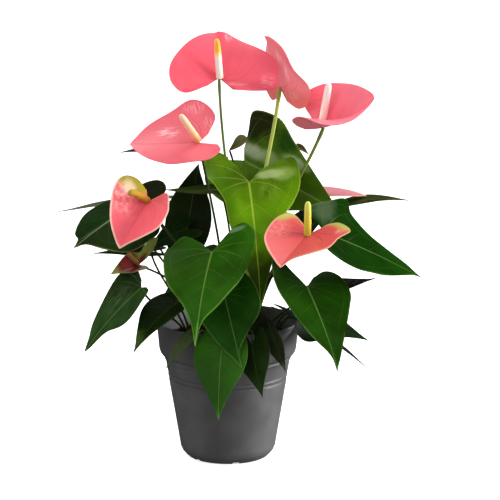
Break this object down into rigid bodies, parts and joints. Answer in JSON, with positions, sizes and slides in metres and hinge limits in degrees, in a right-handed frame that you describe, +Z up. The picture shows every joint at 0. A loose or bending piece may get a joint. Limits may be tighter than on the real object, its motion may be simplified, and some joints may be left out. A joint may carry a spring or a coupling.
{
  "type": "potted anthurium plant",
  "caption": "Potted anthurium: heart-shaped glossy leaves and pink spathes with spiky spadices on long stalks, standing in a tapered grey nursery pot of soil.",
  "frame": {"origin": "centre of the pot's footprint, on the surface it stands on", "axes": "+Z up out of the soil, -Y towards the viewer of the picture, +X to that viewer's right"},
  "size_m": [0.3583, 0.2787, 0.4143],
  "materials": {
    "pot": "moulded dark grey plastic with a soft sheen",
    "soil": null,
    "leaf": "glossy deep green leaf with paler veins",
    "dark_leaf": "glossy very dark green leaf",
    "mid_leaf": "glossy fresh green leaf with paler veins",
    "bright_leaf": "satin yellow-green young leaf with clear veins",
    "young_leaf": "reddish brown unopened leaf",
    "spathe": "glossy waxy coral pink bract with embossed veins",
    "green_stalk": "smooth yellow-green flower stalk",
    "dark_stalk": "smooth dark green flower stalk",
    "cream_spadix": "cream spike of fine florets, matt",
    "gold_spadix": "yellow to green spike of fine florets, matt"
  },
  "bodies": {
    "root": {"pot": "pot", "leaf_bright_centre": "bright_leaf", "leaf_front_left": "mid_leaf", "leaf_front_right": "leaf", "leaf_right_broad": "leaf", "leaf_front_under": "leaf", "leaf_pot_front": "leaf", "leaf_pot_right": "dark_leaf", "leaf_rim_right": "dark_leaf", "leaf_left_low": "leaf", "leaf_left_inner": "dark_leaf", "leaf_left_mid": "leaf", "leaf_left_edge": "leaf", "leaf_back_left_upright": "dark_leaf", "leaf_left_upper": "dark_leaf", "leaf_back_broad": "leaf", "leaf_right_edge": "leaf", "leaf_right_small": "dark_leaf", "leaf_right_low": "dark_leaf", "leaf_right_lowest": "dark_leaf", "leaf_left_small": "dark_leaf", "leaf_rim_left": "dark_leaf", "leaf_left_dark": "dark_leaf", "leaf_left_high": "dark_leaf", "leaf_young_curled": "young_leaf", "leaf_young_back": "young_leaf", "leaf_rear_left": "leaf", "leaf_rear_right": "leaf", "leaf_rear_high": "leaf", "leaf_rear_outer": "leaf", "leaf_rear_low": "leaf", "bloom_top_stalk": "dark_stalk", "bloom_top_spathe": "spathe", "bloom_top_spadix": "cream_spadix", "bloom_top_right_stalk": "green_stalk", "bloom_top_right_spathe": "spathe", "bloom_top_right_spadix": "cream_spadix", "bloom_right_stalk": "green_stalk", "bloom_right_spathe": "spathe", "bloom_right_spadix": "cream_spadix", "bloom_left_stalk": "dark_stalk", "bloom_left_spathe": "spathe", "bloom_left_spadix": "cream_spadix", "bloom_left_low_stalk": "dark_stalk", "bloom_left_low_spathe": "spathe", "bloom_left_low_spadix": "gold_spadix", "bloom_right_low_stalk": "dark_stalk", "bloom_right_low_spathe": "spathe", "bloom_right_low_spadix": "gold_spadix", "bloom_far_right_stalk": "dark_stalk", "bloom_far_right_spathe": "spathe", "bloom_far_right_spadix": "cream_spadix", "bloom_bud_left_stalk": "dark_stalk", "bloom_bud_left_spathe": "spathe", "bloom_bud_left_spadix": "cream_spadix", "soil": "soil"}
  },
  "joints": []
}
